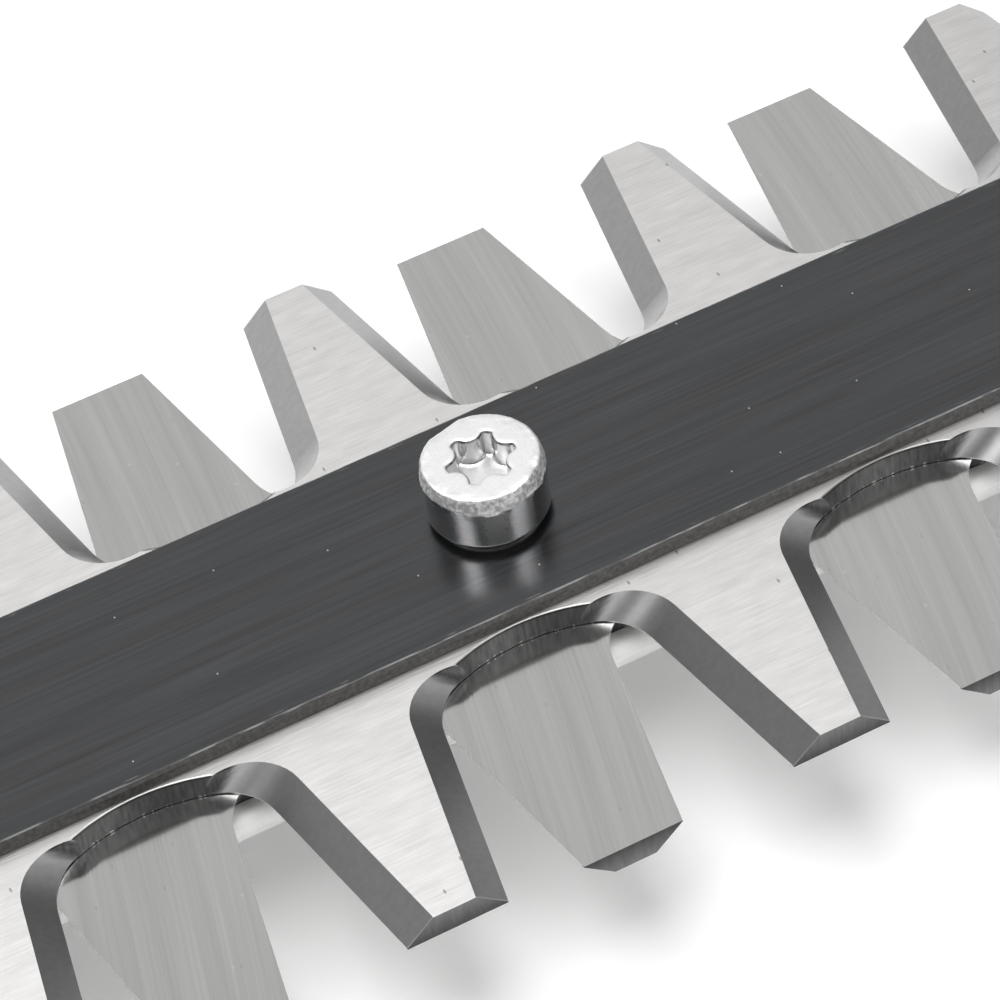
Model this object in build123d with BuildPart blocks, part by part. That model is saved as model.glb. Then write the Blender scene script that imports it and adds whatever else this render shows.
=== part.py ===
from build123d import *
from math import cos, radians, sin, sqrt, tan
import os

# Cutter bar of a double-sided hedge trimmer, in millimetres.
# +X runs along the blades to the free end, Y goes across them, and +Z points up out of the guide bar's top face.
# The origin lies on that face, midway between the two mounting holes.

# Teeth and gullets, as seen from above
tooth_pitch = 32.0
tooth_count = 13
tip_reach = 32.9
tip_width = 8.2
flank_angle = 10.0
root_reach = 11.0
root_radius = 15.4
corner_radius = 5.1

# Flank bevels, ground round the gullet's corner and up to its root
blade_thickness = 2.2
bevel_run = 2.35
edge_land = 0.1
grind_radius = 4.5
grind_stop_reach = 16.5
grind_overrun = 0.5

# Blade travel
blade_stroke = 16.0
rest_shift = 0.8

# Bars
guide_bar_width = 21.5
guide_bar_thickness = 1.2
guide_bar_edge_chamfer = 0.3
under_bar_width = 28.0
under_bar_thickness = 2.5
under_bar_edge_radius = 1.2
bar_corner_radius = 9.0

# Screws, sleeves, washers and nuts
screw_count = 5
pitches_per_screw = 3
thread_diameter = 6.0
screw_length = 16.0
head_diameter = 10.0
head_height = 5.0
head_rim_height = 1.2
head_rim_inset = 0.25
head_collar_diameter = 8.0
head_collar_height = 0.8
recess_depth = 2.6
recess_point_diameter = 5.6
recess_waist_diameter = 3.95
recess_flute_radius = 1.19
recess_lobes = 6
recess_turn = 24.0
sleeve_diameter = 8.0
washer_diameter = 12.0
washer_thickness = 1.6
nut_across_flats = 10.0
nut_height = 6.0
nut_sides = 6

# Clearances
blade_gap = 0.05
sleeve_fit = 0.1
sleeve_bore_clearance = 0.1
bolt_hole_clearance = 0.2
thread_clearance = 0.05
slot_end_gap = 0.5

# Places along the bar
mount_spacing = 40.0
bar_end_margin = 10.0
first_tooth_lead = 19.9
first_screw_lead = 20.1
drive_hole_diameter = 8.0
drive_hole_lead = 14.0
tail_flat = 2.0
nose_lead = 9.6
nose_flat = 6.0
bar_nose_cover = 1.5

# Heights, stacked down from the guide bar's top face
guide_bar_bottom = -guide_bar_thickness
upper_blade_top = guide_bar_bottom - blade_gap
upper_shear_face = upper_blade_top - blade_thickness
lower_shear_face = upper_shear_face - blade_gap
lower_blade_bottom = lower_shear_face - blade_thickness
under_bar_top = lower_blade_bottom - blade_gap
under_bar_bottom = under_bar_top - under_bar_thickness
washer_bottom = under_bar_bottom - washer_thickness
nut_bottom = washer_bottom - nut_height

# Lengths, worked out from the mounting holes
mount_places = [-mount_spacing / 2, mount_spacing / 2]
first_tooth = mount_spacing / 2 + first_tooth_lead
screw_spacing = pitches_per_screw * tooth_pitch
screw_places = [first_tooth + first_screw_lead + n * screw_spacing for n in range(screw_count)]
near_teeth = [first_tooth + n * tooth_pitch for n in range(tooth_count)]
far_teeth = [x + tooth_pitch / 2 for x in near_teeth]
slot_width = sleeve_diameter + 2 * sleeve_fit
slot_length = blade_stroke + sleeve_diameter + 2 * slot_end_gap
bar_tail = -mount_spacing / 2 - bar_end_margin
drive_hole_place = bar_tail - blade_stroke / 2 - drive_hole_lead
blade_tail = drive_hole_place - root_reach
blade_nose = far_teeth[-1] + tooth_pitch / 2 + nose_lead
tail_radius = root_reach - tail_flat / 2
nose_radius = root_reach - nose_flat / 2
bar_nose = blade_nose + blade_stroke / 2 + bar_nose_cover
bolt_hole_radius = thread_diameter / 2 + bolt_hole_clearance

# One gullet corner, measured from the gullet's middle and from the blade's centre line.
# The corner arc touches the flank and, from inside, the wide root arc.
flank_slope = tan(radians(flank_angle))
flank_step = 1 / cos(radians(flank_angle))
root_centre = root_reach + root_radius
arc_spread = root_radius - corner_radius
parallel_at_root_centre = (
    (tooth_pitch - tip_width) / 2 - (tip_reach - root_centre) * flank_slope - corner_radius * flank_step
)
corner_drop = (
    parallel_at_root_centre * flank_slope
    + sqrt((arc_spread * flank_step) ** 2 - parallel_at_root_centre**2)
) / flank_step**2
corner_across = parallel_at_root_centre - corner_drop * flank_slope
corner_reach = root_centre - corner_drop
root_end = (
    corner_across * root_radius / arc_spread,
    root_centre - corner_drop * root_radius / arc_spread,
)
flank_start = (
    corner_across + corner_radius * cos(radians(flank_angle)),
    corner_reach - corner_radius * sin(radians(flank_angle)),
)


def tooth_half(place, side, hand):
    """Draws half a tooth, from the middle of a gullet to the middle of the tip."""
    middle = place + hand * tooth_pitch / 2

    def at(across, reach):
        return (middle - hand * across, side * reach)

    turn = side * hand
    RadiusArc(at(0, root_reach), at(*root_end), turn * root_radius)
    RadiusArc(at(*root_end), at(*flank_start), turn * corner_radius)
    Line(at(*flank_start), at((tooth_pitch - tip_width) / 2, tip_reach))
    Line(at((tooth_pitch - tip_width) / 2, tip_reach), at(tooth_pitch / 2, tip_reach))


def spine_edge(teeth, side):
    """Draws one long side of the blade, teeth included, from tail to nose."""
    Line((blade_tail, 0), (blade_tail, side * root_reach))
    Line((blade_tail, side * root_reach), (teeth[0] - tooth_pitch / 2, side * root_reach))
    for place in teeth:
        tooth_half(place, side, -1)
        tooth_half(place, side, 1)
    Line((teeth[-1] + tooth_pitch / 2, side * root_reach), (blade_nose, side * root_reach))
    Line((blade_nose, side * root_reach), (blade_nose, 0))


# Grinding cuts for both flanks of one tooth, at its place on the near side.
# Each widens from the tooth's own outline at the cutting edge to a tighter arc at the top.
grind_end_reach = tip_reach + corner_radius
grind_rise = (blade_thickness + grind_overrun - edge_land) / (blade_thickness - edge_land)


def beside_tooth(hand, reach, distance):
    """Gives the point at a reach from the centre line and at a distance from the flank."""
    half_width = tip_width / 2 + (tip_reach - reach) * flank_slope
    return Vector(hand * (half_width + distance * flank_step), -reach)


with BuildPart() as bevel_cutter:
    for hand in (-1, 1):
        for rise in (0, grind_rise):
            radius = corner_radius + rise * (grind_radius - corner_radius)
            distance = radius - rise * bevel_run
            stop = beside_tooth(hand, corner_reach + rise * (grind_stop_reach - corner_reach), distance)
            end = beside_tooth(hand, grind_end_reach, distance)
            height = edge_land + rise * (blade_thickness - edge_land)
            with BuildSketch(Plane.XY.offset(height)):
                SlotCenterPoint((stop + end) / 2, end, 2 * radius)
        loft(ruled=True)

# The blade by itself at mid-stroke, its shear face down at zero
with BuildPart() as blade:
    with BuildSketch():
        with BuildLine():
            spine_edge(near_teeth, -1)
            spine_edge(far_teeth, 1)
        make_face()
        ends = vertices().group_by(Axis.X)
        fillet(ends[0].group_by(Axis.Y)[0] + ends[0].group_by(Axis.Y)[-1], tail_radius)
        nose = vertices().group_by(Axis.X)[-1]
        fillet(nose.group_by(Axis.Y)[0] + nose.group_by(Axis.Y)[-1], nose_radius)
        with Locations(*[(x, 0) for x in mount_places + screw_places]):
            SlotOverall(slot_length, slot_width, mode=Mode.SUBTRACT)
        with Locations((drive_hole_place, 0)):
            Circle(drive_hole_diameter / 2, mode=Mode.SUBTRACT)
    extrude(amount=blade_thickness)
    near_places = [Location((x, 0, 0)) for x in near_teeth]
    far_places = [Location((x, 0, 0), (0, 0, 180)) for x in far_teeth]
    with Locations(*near_places, *far_places):
        add(bevel_cutter.part, mode=Mode.SUBTRACT)

with BuildPart() as upper_blade:
    with Locations((rest_shift, 0, upper_shear_face)):
        add(blade.part)

# The lower blade is the same blade turned over, so that the two large faces meet
with BuildPart() as lower_blade:
    with Locations(Location((-rest_shift, 0, lower_shear_face), (180, 0, 0))):
        add(blade.part)


def bar_outline(width):
    """Draws a bar from above, with its round corners and its bolt holes."""
    with Locations(((bar_tail + bar_nose) / 2, 0)):
        RectangleRounded(bar_nose - bar_tail, width, bar_corner_radius)
    with Locations(*[(x, 0) for x in mount_places + screw_places]):
        Circle(bolt_hole_radius, mode=Mode.SUBTRACT)


def outer_edges(face):
    """Gives the long and rounded edges round a face, without those of its holes."""
    return face.outer_wire().edges()


with BuildPart() as guide_bar:
    with BuildSketch(Plane.XY.offset(guide_bar_bottom)):
        bar_outline(guide_bar_width)
    extrude(amount=guide_bar_thickness)
    chamfer(outer_edges(faces().sort_by(Axis.Z)[-1]), guide_bar_edge_chamfer)

with BuildPart() as under_bar:
    with BuildSketch(Plane.XY.offset(under_bar_bottom)):
        bar_outline(under_bar_width)
    extrude(amount=under_bar_thickness)
    broad_faces = faces().filter_by(Axis.Z).sort_by(Axis.Z)
    fillet(outer_edges(broad_faces[0]) + outer_edges(broad_faces[-1]), under_bar_edge_radius)

os.makedirs("parts", exist_ok=True)
for piece, label in (
    (guide_bar, "guide_bar"),
    (upper_blade, "upper_blade"),
    (lower_blade, "lower_blade"),
    (under_bar, "under_bar"),
):
    piece.part.label = label
    export_step(piece.part, f"parts/{label}.step")

# Fasteners, drawn on the Z axis and then set at each screw place
with BuildPart() as screw:
    with BuildSketch(Plane.XY.offset(head_collar_height)):
        Circle(head_diameter / 2)
    extrude(amount=head_height)
    head_side = faces().filter_by(GeomType.CYLINDER)[0]
    chamfer(edges().group_by(Axis.Z)[-1], head_rim_height, head_rim_inset, reference=head_side)
    with BuildSketch():
        Circle(head_collar_diameter / 2)
    extrude(amount=head_collar_height)
    with BuildSketch():
        Circle(thread_diameter / 2)
    extrude(amount=-screw_length)
    with BuildSketch(Plane.XY.offset(head_collar_height + head_height)):
        Circle(recess_point_diameter / 2)
        with PolarLocations(recess_waist_diameter / 2 + recess_flute_radius, recess_lobes, recess_turn):
            Circle(recess_flute_radius, mode=Mode.SUBTRACT)
    extrude(amount=-recess_depth, mode=Mode.SUBTRACT)

with BuildPart() as sleeve:
    with BuildSketch(Plane.XY.offset(under_bar_top)):
        Circle(sleeve_diameter / 2)
        Circle(thread_diameter / 2 + sleeve_bore_clearance, mode=Mode.SUBTRACT)
    extrude(amount=guide_bar_bottom - under_bar_top)

with BuildPart() as washer:
    with BuildSketch(Plane.XY.offset(washer_bottom)):
        Circle(washer_diameter / 2)
        Circle(bolt_hole_radius, mode=Mode.SUBTRACT)
    extrude(amount=washer_thickness)

with BuildPart() as nut:
    with BuildSketch(Plane.XY.offset(nut_bottom)):
        RegularPolygon(nut_across_flats / 2, nut_sides, major_radius=False)
        Circle(thread_diameter / 2 + thread_clearance, mode=Mode.SUBTRACT)
    extrude(amount=nut_height)

for number, place in enumerate(screw_places, start=1):
    for piece, name in ((screw, "screw"), (sleeve, "sleeve"), (washer, "washer"), (nut, "nut")):
        with BuildPart() as placed:
            with Locations((place, 0, 0)):
                add(piece.part)
        placed.part.label = f"{name}_{number}"
        export_step(placed.part, f"parts/{name}_{number}.step")
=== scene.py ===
"""Finishes the cutter bar of a hedge trimmer: ground blades, a blackened guide bar and zinc-plated screws."""

import math

import bpy
from bpy.props import FloatProperty, FloatVectorProperty, PointerProperty
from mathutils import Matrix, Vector


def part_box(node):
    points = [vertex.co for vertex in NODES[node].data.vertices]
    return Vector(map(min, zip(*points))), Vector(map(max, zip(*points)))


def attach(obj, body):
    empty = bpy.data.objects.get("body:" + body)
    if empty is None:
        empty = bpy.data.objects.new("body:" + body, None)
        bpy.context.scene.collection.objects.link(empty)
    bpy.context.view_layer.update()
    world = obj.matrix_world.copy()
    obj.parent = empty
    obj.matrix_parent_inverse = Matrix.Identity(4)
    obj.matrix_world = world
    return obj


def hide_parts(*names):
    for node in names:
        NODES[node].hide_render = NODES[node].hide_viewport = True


bl_info = {
    "name": "Cutter Bar Finisher",
    "version": (1, 0, 0),
    "blender": (4, 5, 0),
    "location": "View3D > Sidebar > Cutter Bar",
    "description": "Dresses a hedge trimmer's cutter bar and sets up its studio",
    "category": "Object",
}

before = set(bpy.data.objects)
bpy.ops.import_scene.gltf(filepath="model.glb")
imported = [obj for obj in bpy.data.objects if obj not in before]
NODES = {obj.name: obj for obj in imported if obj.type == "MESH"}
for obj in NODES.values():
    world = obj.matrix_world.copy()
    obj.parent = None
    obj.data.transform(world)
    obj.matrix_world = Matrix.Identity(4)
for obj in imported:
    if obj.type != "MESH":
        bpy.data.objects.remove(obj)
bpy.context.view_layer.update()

SCREW_COUNT = sum(name.startswith("screw_") for name in NODES)
BODY = "bars"

# Levels and edges of the CAD pieces, in metres
FLOOR_LEVEL = min(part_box("nut_1")[0].z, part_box("screw_1")[0].z)
BAR_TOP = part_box("guide_bar")[1].z
BAR_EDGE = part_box("guide_bar")[1].y
HEAD_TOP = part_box("screw_1")[1].z
HEAD_RADIUS = (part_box("screw_1")[1].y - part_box("screw_1")[0].y) / 2

MM = 0.001

# The teeth of a blade at rest, in metres. A root is the arc at the bottom of a gullet, with a radius, the
# reach of its centre from the blade's middle line, and half a chord. The near gullets and the far ones stand
# half a pitch apart, and each blade has its own.
PITCH = 32 * MM
ROOT_RADIUS = 15.4 * MM
ROOT_CENTRE = 26.4 * MM
ROOT_HALF = 5.8 * MM
ROOT_DEPTH = 13.5 * MM
BEVEL_END_REACH = 12.6 * MM
TIP_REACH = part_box("upper_blade")[1].y
UPPER_GULLETS = (56.7 * MM, 40.7 * MM)
LOWER_GULLETS = (39.1 * MM, 55.1 * MM)
ROLL_WIDTH = 0.22 * MM

# The screws, counted from the bar's tail
MIDDLE_SCREW = 3
SCREW_SPACING = 96 * MM
MIDDLE = Vector(((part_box("screw_3")[0].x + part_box("screw_3")[1].x) / 2, 0, 0))
RECESS_REACH = 3.0 * MM

# Where a screw's head is parted from its shaft, over the guide bar's top
NECK_CUT = 0.4 * MM

# The turned side of a screw's head: how far over the guide bar it starts, how far under the top it ends, and
# the share of the head's radius beyond which it lies
SIDE_START = 0.95 * MM
SIDE_END = 0.3 * MM
SIDE_REACH = 0.99

# Facets struck round the rim of a screw's head: angle about its axis, lowest point under the top, and tilt
RIM_FACETS = (
    (-164, 0.9, 12), (-146, 1.2, 13), (-127, 1.5, 12), (-108, 1.65, 12),
    (-92, 1.4, 14), (-70, 1.3, 15), (-52, 1.5, 16), (-34, 1.2, 14),
    (8, 0.7, 12), (46, 0.7, 16), (104, 1.3, 22), (150, 0.8, 14),
)

# The rim's dents: how far under the top they start, in what height they reach their full depth, and the shares
# of the head's radius at which they start and are full
RIM_DEPTH = 2.1 * MM
RIM_RISE = 0.8 * MM
RIM_START, RIM_FULL = 0.76, 0.90

# Corners cut off a nut: the share of its half width where a cut starts, and how far the cut faces out and up
NUT_FACE = 0.98
NUT_OUT, NUT_UP = 0.5, 0.866

# Duller bands down the turned side of a screw's head: angles of their middles about its axis, and half widths
BAND_ANGLES = (-107, -76, 60, 130)
BAND_HALF, BAND_END = math.radians(5), math.radians(17)

# Lamps, measured from the middle screw
KEY_PLACE = (-0.10, 0.01, 0.85)
FILL_LEFT_PLACE = (-0.60, -0.23, 0.66)
FILL_RIGHT_PLACE = (0.33, -0.55, 0.66)

# The sky: the heights between which it darkens, and the ways to its bright window and its dark corner, each
# with the nearness to that way at which it starts and is full
SKY_FADE = (0.15, 0.36)
WINDOW_WAY = Vector((0.33, 0.79, 0.50)).normalized()
WINDOW_SPREAD = (0.5, 1.0)
CORNER_WAY = Vector((0.84, 0.54, 0.16)).normalized()
CORNER_SPREAD = (0.8, 0.95)

# How far up the normal points where a blade's bevel turns level, and where its wall turns into a bevel
LEVEL = (0.86, 0.95)
RAISED = (0.2, 0.4)


# Settings that a user would change

class CameraSettings(bpy.types.PropertyGroup):
    """Where the camera stands."""

    location: FloatVectorProperty(
        name="Location", description="Camera position in the bar's frame", subtype="TRANSLATION",
        unit="LENGTH", default=(0.18183, -0.20282, 0.22479), precision=5,
    )
    rotation: FloatVectorProperty(
        name="Rotation", description="Camera angles about X, Y and Z", subtype="EULER",
        default=(math.radians(43.339), math.radians(6.782), math.radians(-26.461)),
    )
    lens: FloatProperty(
        name="Lens", description="Focal length on a 36 mm sensor, in millimetres", default=142.73,
    )


class StudioSettings(bpy.types.PropertyGroup):
    """The floor, the lamps and the sky."""

    floor_size: FloatProperty(
        name="Floor size", description="Side of the square floor", unit="LENGTH", default=8.0,
    )
    floor_color: FloatVectorProperty(
        name="Floor", description="Paper colour of the floor", subtype="COLOR", default=(0.96, 0.96, 0.96),
    )
    floor_glow: FloatProperty(
        name="Floor glow", description="White that the camera and the metal see in the floor", default=0.1,
    )
    sky_low: FloatProperty(name="Horizon", description="Strength of the sky at the horizon", default=1.25)
    sky_high: FloatProperty(name="Sky", description="Strength of the sky overhead", default=0.14)
    window: FloatProperty(name="Window", description="Extra strength of the sky behind the bar", default=0.7)
    corner: FloatProperty(
        name="Dark corner", description="Share of the sky lost at the far right", default=0.9,
    )
    key_size: FloatProperty(
        name="Key", description="Side of the softbox overhead", unit="LENGTH", default=0.65,
    )
    key_power: FloatProperty(name="Key power", description="Its power", unit="POWER", default=6.0)
    fill_size: FloatProperty(
        name="Fill", description="Side of each front softbox", unit="LENGTH", default=0.3,
    )
    fill_power: FloatProperty(name="Fill power", description="Its power", unit="POWER", default=1.3)


class BladeSettings(bpy.types.PropertyGroup):
    """Ground steel of the two blades."""

    lengthwise_color: FloatVectorProperty(
        name="Outer face", description="Face ground along the blade", subtype="COLOR",
        default=(0.80, 0.79, 0.78),
    )
    crosswise_color: FloatVectorProperty(
        name="Shear face", description="Face ground across the blade", subtype="COLOR",
        default=(0.62, 0.62, 0.61),
    )
    bevel_color: FloatVectorProperty(
        name="Bevels", description="Ground flanks of the teeth", subtype="COLOR",
        default=(0.46, 0.455, 0.457),
    )
    wall_color: FloatVectorProperty(
        name="Cut walls", description="Dark walls left by the press", subtype="COLOR",
        default=(0.13, 0.13, 0.13),
    )
    tip_color: FloatVectorProperty(
        name="Tips", description="Cut ends of the teeth", subtype="COLOR", default=(0.12, 0.12, 0.12),
    )
    grind_slant: FloatProperty(
        name="Grinding slant", description="Turn of the marks on the shear face", subtype="ANGLE",
        default=math.radians(9.6),
    )


class BarSettings(bpy.types.PropertyGroup):
    """The blackened guide bar and the bright bar under the blades."""

    black_color: FloatVectorProperty(
        name="Blackening", description="Colour of the guide bar", subtype="COLOR",
        default=(0.106, 0.110, 0.114),
    )
    worn_color: FloatVectorProperty(
        name="Worn edge", description="Colour of the guide bar's rubbed edges", subtype="COLOR",
        default=(0.75, 0.75, 0.74),
    )
    warm_color: FloatVectorProperty(
        name="Warm streaks", description="Colour of the brownish streaks in the blackening", subtype="COLOR",
        default=(0.106, 0.093, 0.091),
    )
    side_color: FloatVectorProperty(
        name="Bar sides", description="Colour of the guide bar's cut sides", subtype="COLOR",
        default=(0.10, 0.096, 0.092),
    )
    bright_color: FloatVectorProperty(
        name="Under bar", description="Colour of the bar under the blades", subtype="COLOR",
        default=(0.96, 0.96, 0.95),
    )


class FastenerSettings(bpy.types.PropertyGroup):
    """Zinc-plated screws, nuts, washers and sleeves."""

    zinc_color: FloatVectorProperty(
        name="Zinc", description="Colour of the plating", subtype="COLOR", default=(0.94, 0.94, 0.94),
    )
    grain_size: FloatProperty(
        name="Mesh size", description="Size of the cells that a screw's head is skinned with", unit="LENGTH",
        default=0.1 * MM, precision=5,
    )
    dent_spacing: FloatProperty(
        name="Dent spacing", description="Distance from dent to dent round a head's rim", unit="LENGTH",
        default=1.1 * MM, precision=5,
    )
    dent_depth: FloatProperty(
        name="Dent depth", description="Unevenness of a head's rim", unit="LENGTH", default=0.18 * MM,
        precision=5,
    )
    end_bevel: FloatProperty(
        name="Screw end", description="Width of the bevel at a screw's end", unit="LENGTH", default=0.6 * MM,
        precision=5,
    )


# Shader nodes

class Amount:
    """A number in a shader, on which Python's signs add Math nodes."""

    def __init__(self, sheet, socket):
        self.sheet = sheet
        self.socket = socket

    def worked(self, operation, *terms):
        made = self.sheet.node("ShaderNodeMath", {"operation": operation}, dict(enumerate(terms)))
        return Amount(self.sheet, made.outputs[0])

    def __add__(self, other):
        return self.worked("ADD", self, other)

    def __radd__(self, other):
        return self.worked("ADD", other, self)

    def __sub__(self, other):
        return self.worked("SUBTRACT", self, other)

    def __rsub__(self, other):
        return self.worked("SUBTRACT", other, self)

    def __mul__(self, other):
        return self.worked("MULTIPLY", self, other)

    def __rmul__(self, other):
        return self.worked("MULTIPLY", other, self)

    def __neg__(self):
        return self.worked("MULTIPLY", self, -1.0)

    def __abs__(self):
        return self.worked("ABSOLUTE", self)


class Sheet:
    """The nodes of one material, lamp or sky."""

    def __init__(self, tree):
        self.tree = tree
        self.tree.nodes.clear()

    def node(self, kind, settings=None, inputs=None):
        """Adds a node, with its settings first and then the values or links of its sockets."""
        made = self.tree.nodes.new(kind)
        for name, value in (settings or {}).items():
            setattr(made, name, value)
        for name, value in (inputs or {}).items():
            if isinstance(value, Amount):
                value = value.socket
            if isinstance(value, bpy.types.NodeSocket):
                self.tree.links.new(value, made.inputs[name])
            else:
                made.inputs[name].default_value = value
        return made

    def amount(self, socket):
        return Amount(self, socket)

    def parts(self, vector):
        """Gives the three numbers of a vector."""
        made = self.node("ShaderNodeSeparateXYZ", inputs={0: vector})
        return [self.amount(socket) for socket in made.outputs]

    def joined(self, x, y, z):
        """Makes a vector of three numbers."""
        return self.node("ShaderNodeCombineXYZ", inputs={0: x, 1: y, 2: z}).outputs[0]

    def length(self, x, y):
        """Gives the length of a way with two legs."""
        square = x * x + y * y
        return square.worked("SQRT", square)

    def ramp(self, value, low, high):
        """Rises smoothly from 0 to 1 as the value goes from low to high."""
        settings = {"interpolation_type": "SMOOTHSTEP"}
        made = self.node("ShaderNodeMapRange", settings, {"Value": value, "From Min": low, "From Max": high})
        return self.amount(made.outputs[0])

    def noise(self, vector, detail=2.0, roughness=0.5):
        """Gives cloudy noise, about 1 unit from crest to crest."""
        inputs = {"Vector": vector, "Scale": 1.0, "Detail": detail, "Roughness": roughness}
        return self.amount(self.node("ShaderNodeTexNoise", inputs=inputs).outputs[0])

    def dots(self, vector, size, share):
        """Gives soft dots of a size, in cells of 1 unit, in about that share of the cells."""
        settings = {"voronoi_dimensions": "2D"}
        cells = self.node("ShaderNodeTexVoronoi", settings, {"Vector": vector, "Scale": 1.0})
        lot = self.parts(cells.outputs["Color"])[0]
        chosen = lot.worked("LESS_THAN", lot, share)
        near = 1.0 - self.ramp(self.amount(cells.outputs["Distance"]), size * 0.5, size)
        return near * chosen

    def tint(self, share, first, second):
        """Mixes two colours."""
        colors = [c if isinstance(c, bpy.types.NodeSocket) else (*c, 1.0) for c in (first, second)]
        made = self.node("ShaderNodeMix", {"data_type": "RGBA"}, {0: share, 6: colors[0], 7: colors[1]})
        return made.outputs[2]

    def shade(self, color, share):
        """Multiplies a colour by a number."""
        return self.node("ShaderNodeVectorMath", {"operation": "SCALE"}, {0: color, 3: share}).outputs[0]

    def bumps(self, height, depth):
        """Turns a height into a normal, with a depth in metres for one unit."""
        return self.node("ShaderNodeBump", inputs={"Height": height, "Distance": depth}).outputs[0]


class Finish(Sheet):
    """The nodes of one material, with the object's own coordinates at hand."""

    def __init__(self, name):
        self.material = bpy.data.materials.new(name)
        self.material.use_nodes = True
        super().__init__(self.material.node_tree)
        place = self.node("ShaderNodeTexCoord")
        self.x, self.y, self.z = self.parts(place.outputs["Object"])
        self.facing = self.parts(place.outputs["Normal"])

    def grain(self, lengths, detail=2.0):
        """Gives noise with crests as far apart as the lengths, in millimetres along X, Y and Z."""
        scaled = [v * (1 / (n * MM)) for v, n in zip((self.x, self.y, self.z), lengths)]
        return self.noise(self.joined(*scaled), detail)

    def metal(self, color, roughness, normal=None, metallic=1.0):
        """Ends the material in a metal surface."""
        inputs = {"Base Color": color, "Roughness": roughness, "Metallic": metallic}
        if normal is not None:
            inputs["Normal"] = normal
        surface = self.node("ShaderNodeBsdfPrincipled", inputs=inputs)
        self.node("ShaderNodeOutputMaterial", inputs={0: surface.outputs[0]})
        return self.material


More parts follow.
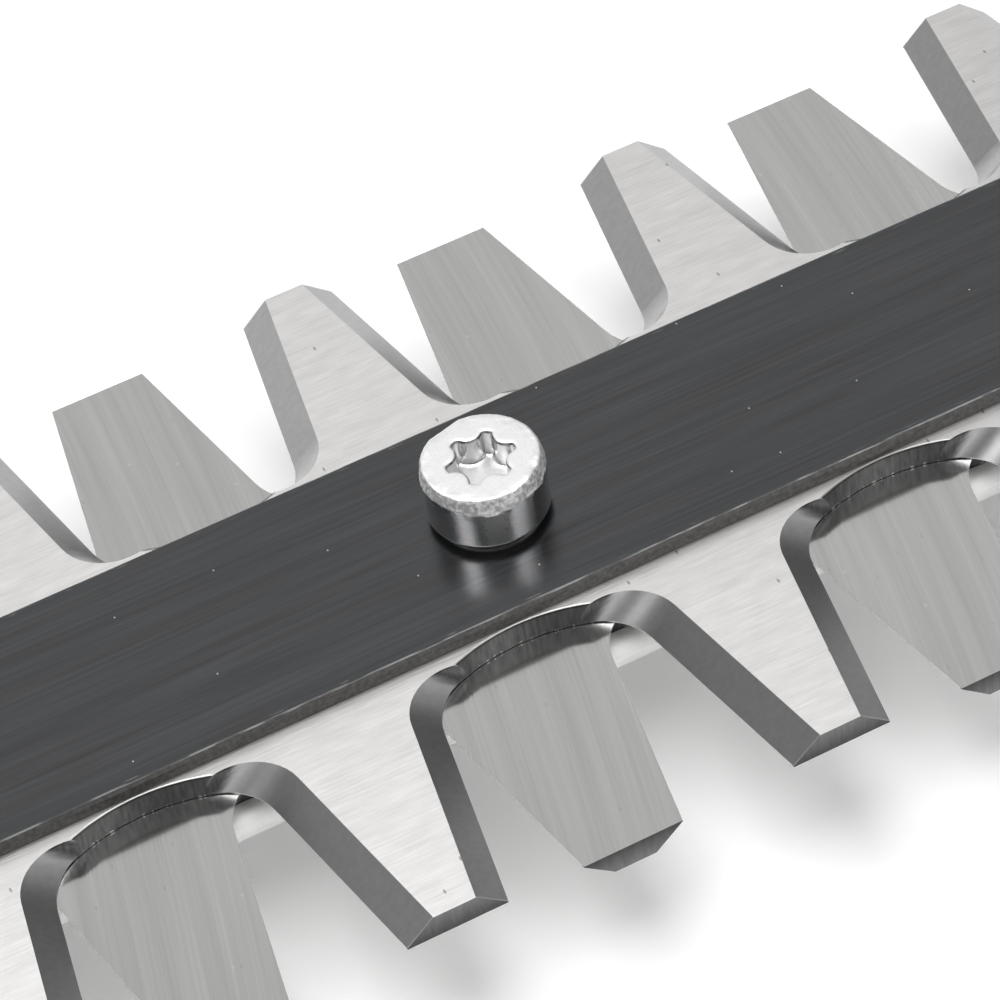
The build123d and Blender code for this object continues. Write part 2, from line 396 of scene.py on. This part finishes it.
def blade_finish(node, bevel_side, gullets):
    """Steel of a blade whose bevels face up (1) or down (-1), with gullets at two places, near and far."""
    looks = bpy.context.scene.cutter_blades
    low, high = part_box(node)
    steel = Finish(f"{node}_steel")
    upright = steel.facing[2] * bevel_side
    lengthwise = steel.ramp(upright, *LEVEL)
    crosswise = steel.ramp(-upright, *LEVEL)
    wall = 1.0 - steel.ramp(abs(upright), *RAISED)
    reach = abs(steel.y)
    tip = wall * steel.ramp(reach, TIP_REACH - 0.2 * MM, TIP_REACH - 0.1 * MM)
    # Painted highlights: a bright line on the vertical lands past the bevels' ends, and one along the ridge
    # next to each tip.
    land_highlight = wall * steel.ramp(reach, BEVEL_END_REACH, BEVEL_END_REACH + 0.4 * MM) - tip
    ridge_highlight = steel.ramp(reach, TIP_REACH - 0.16 * MM, TIP_REACH - 0.06 * MM) * (1.0 - wall) * (1.0 - crosswise)

    near = steel.y.worked("LESS_THAN", steel.y, 0.0)
    aside = steel.x - near * (gullets[0] - gullets[1]) - gullets[1]
    aside = aside.worked("WRAP", aside, PITCH / 2, -PITCH / 2)
    inward = ROOT_CENTRE - reach
    beyond = steel.length(aside, inward) - ROOT_RADIUS
    root = steel.ramp(inward, ROOT_DEPTH, ROOT_DEPTH + 0.5 * MM)
    root = root * (1.0 - steel.ramp(abs(aside), ROOT_HALF - 0.3 * MM, ROOT_HALF + 0.4 * MM))
    # The rollover along each gullet's root: a real rounding in the bump, and painted shade that darkens its
    # colour.
    rollover_bump_and_shade = (1.0 - steel.ramp(beyond, 0.0, ROLL_WIDTH)) * root * lengthwise
    # Near bevels that face along +X: rougher, and painted darker as painted shade for how light falls across
    # their grain.
    turned = steel.ramp(steel.facing[0], 0.35, 0.5) * near * (1.0 - wall)
    narrow = (steel.z - (low.z + high.z) / 2) * (bevel_side / (high.z - low.z))

    fine_lines = steel.grain((3.5, 0.2, 40.0), 3.0)
    broad_lines = steel.grain((30.0, 0.9, 40.0))
    clouds = steel.grain((2.5, 1.2, 6.0), 4.0)
    along = 0.68 + fine_lines * 0.28 + broad_lines * 0.16 + clouds * 0.20

    slant = looks.grind_slant
    bowed = steel.x * math.cos(slant) - steel.y * math.sin(slant) + steel.y * steel.y * 1.5
    cross_fine = steel.noise(steel.joined(bowed * (1 / (0.22 * MM)), steel.y * (1 / (18 * MM)), 0.0), 3.0)
    cross_broad = steel.noise(steel.joined(bowed * (1 / (1.1 * MM)), steel.y * (1 / (40 * MM)), 3.0))
    across = 0.72 + cross_fine * 0.24 + cross_broad * 0.32

    satin = 0.86 + steel.grain((1.6, 0.5, 0.5), 4.0) * 0.28
    torn = 0.3 + steel.grain((0.3, 0.3, 2.0), 4.0) * 1.4
    ragged = steel.ramp(steel.grain((0.3, 0.3, 0.3), 3.0), 0.56, 0.64)

    color = steel.shade(tuple(looks.bevel_color), satin)
    color = steel.tint(lengthwise, color, steel.shade(tuple(looks.lengthwise_color), along))
    color = steel.tint(crosswise, color, steel.shade(tuple(looks.crosswise_color), across))
    nicks = steel.dots(steel.joined(steel.x * 400.0, steel.y * 170.0, 0.0), 0.05, 0.25)
    flecks = steel.dots(steel.joined(steel.x * 300.0, steel.y * 240.0, 0.0), 0.05, 0.1)
    marked = nicks * (lengthwise * 0.5 + crosswise * 0.1)
    # Nicks darken the faces as real marks; the near bevels facing +X and the rollover are darkened as painted
    # shade.
    color = steel.shade(color, 1.0 - marked - turned * 0.15 - rollover_bump_and_shade * 0.75)
    color = steel.tint(flecks * crosswise * 0.5, color, tuple(looks.lengthwise_color))
    # Painted shade: a dark line along each cut wall next to the blade's outer face, under the rollover.
    rim = steel.ramp(narrow, 0.38, 0.46)
    color = steel.tint(wall, color, steel.shade(tuple(looks.wall_color), torn * (1.0 - rim * 0.6)))
    # The cut ends are painted lighter towards the blade's outer face and darker towards its shear face:
    # painted highlight and painted shade.
    color = steel.tint(tip, color, steel.shade(tuple(looks.tip_color), (torn * 0.5 + 0.5) * (1.0 + narrow)))
    # Painted highlights on the ridge next to each tip and on the lands.
    color = steel.tint(ridge_highlight * 0.6 + land_highlight, color, tuple(looks.lengthwise_color))
    burrs = wall * root * ragged * steel.ramp(-narrow, 0.36, 0.46) * 0.5
    color = steel.tint(burrs, color, tuple(looks.lengthwise_color))
    height = lengthwise * fine_lines + crosswise * cross_fine + wall * torn * 2.0 - rollover_bump_and_shade * rollover_bump_and_shade * 5.0
    roughness = 0.34 + lengthwise * 0.06 - crosswise * 0.20 + wall * 0.16 + turned * 0.10
    return steel.metal(color, roughness, steel.bumps(height, 0.01 * MM))


def guide_bar_finish():
    """Blackened steel, brushed along the bar and rubbed bare along its edges."""
    looks = bpy.context.scene.cutter_bars
    black = Finish("blackened_steel")
    lines = black.grain((13.0, 0.3, 30.0), 4.0)
    broad = black.grain((60.0, 2.2, 30.0))
    shade = 0.54 + lines * 0.56 + broad * 0.36
    upright = abs(black.facing[2])
    side = 1.0 - black.ramp(upright, 0.2, 0.5)
    edge = black.ramp(upright, 0.4, 0.6) * (1.0 - black.ramp(upright, 0.8, 0.95))
    inside = BAR_EDGE - abs(black.y) + (lines - 0.5) * (0.1 * MM)
    second = black.ramp(inside, 0.5 * MM, 0.56 * MM) * (1.0 - black.ramp(inside, 0.58 * MM, 0.66 * MM))
    crest = black.ramp(inside, 0.2 * MM, 0.26 * MM) * (1.0 - black.ramp(inside, 0.34 * MM, 0.4 * MM))
    scratchy = black.ramp(black.grain((3.5, 0.3, 0.3), 3.0), 0.46, 0.58)
    faint = black.ramp(black.grain((2.4, 0.3, 0.3), 3.0), 0.56, 0.66)
    mottled = 0.3 + black.grain((0.4, 0.4, 0.4), 4.0) * 1.4
    specks = black.dots(black.joined(black.x * 230.0, black.y * 170.0, 0.0), 0.02, 0.2) * 0.6
    warm = black.ramp(black.grain((22.0, 1.6, 30.0), 3.0), 0.5, 0.7) * 0.5
    color = black.shade(black.tint(warm, tuple(looks.black_color), tuple(looks.warm_color)), shade)
    color = black.tint(side + edge * 0.8, color, black.shade(tuple(looks.side_color), mottled))
    worn = (1.0 - side) * (crest * (0.06 + scratchy * 0.34) + second * faint * 0.3)
    color = black.tint(worn, color, tuple(looks.worn_color))
    color = black.tint(specks, color, tuple(looks.bright_color))
    roughness = 0.2 + lines * 0.08 + (side + edge) * 0.25
    return black.metal(color, roughness, black.bumps(lines, 0.004 * MM))


def under_bar_finish():
    """Bright satin steel."""
    looks = bpy.context.scene.cutter_bars
    bright = Finish("bright_steel")
    lines = bright.grain((18.0, 0.25, 0.25), 3.0)
    color = bright.shade(tuple(looks.bright_color), 0.88 + lines * 0.2)
    return bright.metal(color, 0.5, bright.bumps(lines, 0.004 * MM), metallic=0.1)


def zinc_finish():
    """Zinc plating over forged steel, burnished on the raised places."""
    looks = bpy.context.scene.cutter_fasteners
    zinc = Finish("zinc_steel")
    upright = abs(zinc.facing[2])
    aside = zinc.x - MIDDLE.x
    aside = aside.worked("WRAP", aside, SCREW_SPACING / 2, -SCREW_SPACING / 2)
    angle = aside.worked("ARCTAN2", zinc.y, aside)
    head = zinc.ramp(zinc.z, BAR_TOP, BAR_TOP + 0.2 * MM)
    flank = 1.0 - zinc.ramp(upright, 0.05, 0.15)
    top = zinc.ramp(upright, 0.7, 0.9)
    struck = zinc.ramp(zinc.z, HEAD_TOP - 2.0 * MM, HEAD_TOP - 1.7 * MM) * head * (1.0 - top) * (1.0 - flank)
    bands = 0.0
    for middle in BAND_ANGLES:
        bands = bands + (1.0 - zinc.ramp(abs(angle - math.radians(middle)), BAND_HALF, BAND_END))
    dents = zinc.grain((0.9, 0.9, 0.9), 3.0)
    fine = zinc.grain((0.2, 0.2, 0.2), 3.0)
    blotches = zinc.ramp(zinc.grain((0.35, 0.35, 0.35), 4.0), 0.35, 0.65)
    # Painted shade: the walls of the socket in the head are darkened.
    inner = 1.0 - zinc.ramp(zinc.length(aside, zinc.y), RECESS_REACH, RECESS_REACH + 0.3 * MM)
    socket = head * inner * (1.0 - top)
    # The struck rim is darker as real wear; the socket walls are darker as painted shade.
    share = 0.88 + fine * 0.22 - struck * (0.15 + blotches * 0.35) - socket * 0.3
    color = zinc.shade(tuple(looks.zinc_color), share)
    roughness = 0.2 + fine * 0.1 + struck * 0.4 + head * flank * (bands * 0.12 - 0.06) + head * top * 0.2
    height = (dents * 0.4 + fine * 0.2) * (top * 0.6 + 0.15) + struck * blotches * 0.3
    return zinc.metal(color, roughness, zinc.bumps(height, 0.06 * MM))


def wear(name, material):
    """Gives a CAD node its material."""
    slots = NODES[name].material_slots
    for slot in slots:
        slot.material = material


class CUTTER_OT_stage(bpy.types.Operator):
    """Sets up the floor, the sky, the lamps and the camera."""

    bl_idname = "cutter.stage"
    bl_label = "Stage"

    def execute(self, context):
        scene = context.scene
        scene.view_settings.view_transform = "Standard"
        self.add_floor(scene.cutter_studio)
        self.add_sky(scene)
        self.add_lamps(scene.cutter_studio)
        self.add_camera(scene)
        return {"FINISHED"}

    def add_floor(self, studio):
        bpy.ops.object.select_all(action="DESELECT")
        bpy.ops.mesh.primitive_plane_add(size=studio.floor_size, location=(0, 0, FLOOR_LEVEL))
        floor = bpy.context.object
        floor.name = "floor"
        bpy.ops.object.transform_apply(location=True, rotation=True, scale=True)
        paper = Finish("paper")
        rays = paper.node("ShaderNodeLightPath").outputs
        seen = paper.amount(rays["Is Camera Ray"])
        seen = seen.worked("MAXIMUM", seen, rays["Is Glossy Ray"])
        seen = seen.worked("MAXIMUM", seen, rays["Is Transmission Ray"])
        inputs = {"Base Color": (*studio.floor_color, 1.0), "Roughness": 0.9, "Specular IOR Level": 0.1}
        matt = paper.node("ShaderNodeBsdfPrincipled", inputs=inputs).outputs[0]
        glow = paper.node("ShaderNodeEmission", inputs={"Strength": studio.floor_glow}).outputs[0]
        lit = paper.node("ShaderNodeAddShader", inputs={0: matt, 1: glow}).outputs[0]
        both = paper.node("ShaderNodeMixShader", inputs={0: seen, 1: matt, 2: lit}).outputs[0]
        paper.node("ShaderNodeOutputMaterial", inputs={0: both})
        floor.data.materials.append(paper.material)

    def add_sky(self, scene):
        studio = scene.cutter_studio
        world = bpy.data.worlds.new("sky")
        world.use_nodes = True
        scene.world = world
        sky = Sheet(world.node_tree)
        way = sky.parts(sky.node("ShaderNodeTexCoord").outputs["Generated"])
        strength = studio.sky_low + sky.ramp(way[2], *SKY_FADE) * (studio.sky_high - studio.sky_low)
        behind = way[0] * WINDOW_WAY.x + way[1] * WINDOW_WAY.y + way[2] * WINDOW_WAY.z
        strength = strength + sky.ramp(behind, *WINDOW_SPREAD) * studio.window
        aside = way[0] * CORNER_WAY.x + way[1] * CORNER_WAY.y + way[2] * CORNER_WAY.z
        strength = strength * (1.0 - sky.ramp(aside, *CORNER_SPREAD) * studio.corner)
        light = sky.node("ShaderNodeBackground", inputs={"Strength": strength})
        sky.node("ShaderNodeOutputWorld", inputs={0: light.outputs[0]})

    def add_lamps(self, studio):
        self.add_softbox("key", KEY_PLACE, studio.key_size, studio.key_power)
        self.add_softbox("fill_left", FILL_LEFT_PLACE, studio.fill_size, studio.fill_power)
        self.add_softbox("fill_right", FILL_RIGHT_PLACE, studio.fill_size, studio.fill_power)

    def add_softbox(self, name, offset, size, power):
        lamp = bpy.data.lights.new(name, "AREA")
        lamp.shape = "SQUARE"
        lamp.size = size
        lamp.energy = power
        box = bpy.data.objects.new(name, lamp)
        bpy.context.scene.collection.objects.link(box)
        box.location = MIDDLE + Vector(offset)
        box.rotation_euler = (MIDDLE - box.location).to_track_quat("-Z", "Y").to_euler()

    def add_camera(self, scene):
        view = scene.cutter_camera
        lens = bpy.data.cameras.new("camera")
        lens.sensor_width = 36.0
        lens.lens = view.lens
        lens.clip_start = 0.01
        camera = bpy.data.objects.new("camera", lens)
        scene.collection.objects.link(camera)
        camera.location = view.location
        camera.rotation_euler = view.rotation
        scene.camera = camera


class CUTTER_OT_blades(bpy.types.Operator):
    """Gives the two blades their ground steel."""

    bl_idname = "cutter.blades"
    bl_label = "Blades"

    def execute(self, context):
        wear("upper_blade", blade_finish("upper_blade", 1, UPPER_GULLETS))
        wear("lower_blade", blade_finish("lower_blade", -1, LOWER_GULLETS))
        return {"FINISHED"}


class CUTTER_OT_bars(bpy.types.Operator):
    """Gives the guide bar its blackening and the under bar its bright steel."""

    bl_idname = "cutter.bars"
    bl_label = "Bars"

    def execute(self, context):
        wear("guide_bar", guide_bar_finish())
        wear("under_bar", under_bar_finish())
        return {"FINISHED"}


def merged_copy(node, name):
    """Copies a CAD node as a new closed mesh, with its facets joined into whole faces."""
    piece = bpy.data.objects.new(name, NODES[node].data.copy())
    bpy.context.scene.collection.objects.link(piece)
    bpy.ops.object.select_all(action="DESELECT")
    bpy.context.view_layer.objects.active = piece
    piece.select_set(True)
    bpy.ops.mesh.customdata_custom_splitnormals_clear()
    bpy.ops.object.mode_set(mode="EDIT")
    bpy.ops.mesh.select_all(action="SELECT")
    bpy.ops.mesh.remove_doubles(threshold=0.001 * MM)
    bpy.ops.mesh.normals_make_consistent(inside=False)
    bpy.ops.mesh.dissolve_limited(angle_limit=math.radians(0.5))
    bpy.ops.object.mode_set(mode="OBJECT")
    return piece


def sliced(piece, place, way):
    """Cuts off what lies beyond a plane and closes the cut."""
    bpy.ops.object.select_all(action="DESELECT")
    bpy.context.view_layer.objects.active = piece
    piece.select_set(True)
    bpy.ops.object.mode_set(mode="EDIT")
    bpy.ops.mesh.select_all(action="SELECT")
    bpy.ops.mesh.bisect(plane_co=place, plane_no=way, use_fill=True, clear_outer=True, threshold=0.0005 * MM)
    bpy.ops.object.mode_set(mode="OBJECT")


def applied(piece, kind, name, **settings):
    """Adds a modifier with its settings and applies it."""
    bpy.context.view_layer.objects.active = piece
    modifier = piece.modifiers.new(name, kind)
    for key, value in settings.items():
        setattr(modifier, key, value)
    bpy.ops.object.modifier_apply(modifier=name)


def set_copies(model, kind, turn, material):
    """Sets a turned copy of a fastener at each screw place, instead of the CAD node of that number."""
    model.data.materials.clear()
    model.data.materials.append(material)
    for number in range(1, SCREW_COUNT + 1):
        node = f"{kind}_{number}"
        piece = bpy.data.objects.new(f"finished_{node}", model.data.copy())
        bpy.context.scene.collection.objects.link(piece)
        bpy.ops.object.select_all(action="DESELECT")
        bpy.context.view_layer.objects.active = piece
        piece.select_set(True)
        bpy.ops.object.mode_set(mode="EDIT")
        bpy.ops.mesh.select_all(action="SELECT")
        places = number - MIDDLE_SCREW
        bpy.ops.transform.rotate(value=turn * places, orient_axis="Z", center_override=MIDDLE)
        bpy.ops.transform.translate(value=(SCREW_SPACING * places, 0, 0))
        bpy.ops.object.mode_set(mode="OBJECT")
        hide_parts(node)
        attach(piece, BODY)
    bpy.data.objects.remove(model)


class CUTTER_OT_screws(bpy.types.Operator):
    """Models a screw with a struck rim once, and sets a copy at each place."""

    bl_idname = "cutter.screws"
    bl_label = "Screws"

    def execute(self, context):
        looks = context.scene.cutter_fasteners
        head = self.add_head(looks)
        shaft = self.add_shaft(looks)
        bpy.ops.object.select_all(action="DESELECT")
        shaft.select_set(True)
        head.select_set(True)
        context.view_layer.objects.active = head
        bpy.ops.object.join()
        set_copies(head, "screw", math.radians(120), bpy.data.materials["zinc"])
        return {"FINISHED"}

    def add_head(self, looks):
        """Cuts facets round the rim, skins the head anew, trues its turned side and dents the rim."""
        head = merged_copy("screw_3", "screw_head")
        sliced(head, MIDDLE + Vector((0, 0, NECK_CUT)), (0, 0, -1))
        for angle, drop, tilt in RIM_FACETS:
            way = Vector((math.cos(math.radians(angle)), math.sin(math.radians(angle)), 0))
            place = MIDDLE + way * HEAD_RADIUS + Vector((0, 0, HEAD_TOP - drop * MM))
            lean = math.radians(tilt)
            sliced(head, place, way * math.cos(lean) + Vector((0, 0, math.sin(lean))))
        applied(head, "REMESH", "skin", mode="VOXEL", voxel_size=looks.grain_size)
        applied(head, "SMOOTH", "soften", factor=0.5, iterations=20)
        rim = head.vertex_groups.new(name="rim")
        side = head.vertex_groups.new(name="side")
        for vertex in head.data.vertices:
            rim.add([vertex.index], self.rim_share(vertex.co), "REPLACE")
            side.add([vertex.index], self.side_share(vertex.co), "REPLACE")
        bpy.ops.object.empty_add(location=MIDDLE)
        axis = bpy.context.object
        applied(
            head, "CAST", "turn", cast_type="CYLINDER", use_z=False, use_radius_as_size=False,
            size=HEAD_RADIUS, factor=1.0, object=axis, vertex_group="side",
        )
        bpy.data.objects.remove(axis)
        head.select_set(True)
        waves = bpy.data.textures.new("waves", "CLOUDS")
        waves.noise_scale = looks.dent_spacing
        waves.noise_depth = 3
        applied(
            head, "DISPLACE", "dents", texture=waves, texture_coords="LOCAL", strength=looks.dent_depth,
            mid_level=0.55, vertex_group="rim",
        )
        applied(head, "SMOOTH", "settle", factor=0.5, iterations=4)
        bpy.ops.object.shade_smooth()
        return head

    def side_share(self, point):
        """Tells whether a point belongs to the head's turned side."""
        outward = math.hypot(point.x - MIDDLE.x, point.y) / HEAD_RADIUS
        return float(outward > SIDE_REACH and BAR_TOP + SIDE_START < point.z < HEAD_TOP - SIDE_END)

    def rim_share(self, point):
        """Tells how much of the struck rim's unevenness a point of the head takes, from 0 to 1."""
        outward = math.hypot(point.x - MIDDLE.x, point.y) / HEAD_RADIUS
        risen = (point.z - HEAD_TOP + RIM_DEPTH) / RIM_RISE
        grown = (outward - RIM_START) / (RIM_FULL - RIM_START)
        return min(max(risen, 0.0), 1.0) * min(max(grown, 0.0), 1.0)

    def add_shaft(self, looks):
        """Bevels the end of the shaft."""
        shaft = merged_copy("screw_3", "screw_shaft")
        sliced(shaft, MIDDLE + Vector((0, 0, NECK_CUT)), (0, 0, 1))
        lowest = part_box("screw_3")[0].z
        for edge in shaft.data.edges:
            ends = [shaft.data.vertices[index].co.z for index in edge.vertices]
            edge.select = max(ends) < lowest + 0.01 * MM
        bpy.context.tool_settings.mesh_select_mode = (False, True, False)
        bpy.ops.object.mode_set(mode="EDIT")
        bpy.ops.mesh.bevel(offset=looks.end_bevel, segments=1)
        bpy.ops.object.mode_set(mode="OBJECT")
        bpy.context.tool_settings.mesh_select_mode = (True, False, False)
        bpy.ops.object.shade_smooth_by_angle(angle=math.radians(30))
        return shaft


class CUTTER_OT_nuts(bpy.types.Operator):
    """Models a nut with cut corners once, and sets a copy at each place."""

    bl_idname = "cutter.nuts"
    bl_label = "Nuts"

    def execute(self, context):
        nut = merged_copy("nut_3", "nut")
        low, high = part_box("nut_3")
        flat = (high.y - low.y) / 2
        for side, level in ((-1, low.z), (1, high.z)):
            for corner in range(6):
                angle = math.radians(60 * corner)
                way = Vector((math.cos(angle), math.sin(angle), 0))
                place = MIDDLE + way * (flat * NUT_FACE) + Vector((0, 0, level))
                sliced(nut, place, way * NUT_OUT + Vector((0, 0, side * NUT_UP)))
        bpy.ops.object.shade_smooth_by_angle(angle=math.radians(20))
        set_copies(nut, "nut", math.radians(60), bpy.data.materials["zinc"])
        return {"FINISHED"}


class CUTTER_OT_plating(bpy.types.Operator):
    """Plates the sleeves and washers, and makes the plating that the screws and nuts share."""

    bl_idname = "cutter.plating"
    bl_label = "Plating"

    def execute(self, context):
        zinc = zinc_finish()
        zinc.name = "zinc"
        for number in range(1, SCREW_COUNT + 1):
            for kind in ("sleeve", "washer"):
                wear(f"{kind}_{number}", zinc)
        return {"FINISHED"}


class CUTTER_PT_panel(bpy.types.Panel):
    """Lists the cutter bar's settings and steps."""

    bl_label = "Cutter Bar"
    bl_idname = "CUTTER_PT_panel"
    bl_space_type = "VIEW_3D"
    bl_region_type = "UI"
    bl_category = "Cutter Bar"

    def draw(self, context):
        for name, title, steps in SECTIONS:
            box = self.layout.box()
            box.label(text=title)
            settings = getattr(context.scene, name)
            for key in settings.bl_rna.properties.keys():
                if key not in ("name", "rna_type"):
                    box.prop(settings, key)
            for step in steps:
                box.operator(step)


SETTINGS = {
    "cutter_camera": CameraSettings,
    "cutter_studio": StudioSettings,
    "cutter_blades": BladeSettings,
    "cutter_bars": BarSettings,
    "cutter_fasteners": FastenerSettings,
}
STEPS = (
    CUTTER_OT_stage, CUTTER_OT_blades, CUTTER_OT_bars, CUTTER_OT_plating, CUTTER_OT_screws, CUTTER_OT_nuts,
)
SECTIONS = (
    ("cutter_camera", "Camera", ()),
    ("cutter_studio", "Studio", ("cutter.stage",)),
    ("cutter_blades", "Blades", ("cutter.blades",)),
    ("cutter_bars", "Bars", ("cutter.bars",)),
    ("cutter_fasteners", "Fasteners", ("cutter.plating", "cutter.screws", "cutter.nuts")),
)


def register():
    for name, group in SETTINGS.items():
        bpy.utils.register_class(group)
        setattr(bpy.types.Scene, name, PointerProperty(type=group))
    for step in (*STEPS, CUTTER_PT_panel):
        bpy.utils.register_class(step)


def unregister():
    for step in reversed((*STEPS, CUTTER_PT_panel)):
        bpy.utils.unregister_class(step)
    for name, group in reversed(SETTINGS.items()):
        delattr(bpy.types.Scene, name)
        bpy.utils.unregister_class(group)


def main():
    register()
    bpy.ops.cutter.stage()
    bpy.ops.cutter.blades()
    bpy.ops.cutter.bars()
    bpy.ops.cutter.plating()
    bpy.ops.cutter.screws()
    bpy.ops.cutter.nuts()


if __name__ == "__main__":
    main()
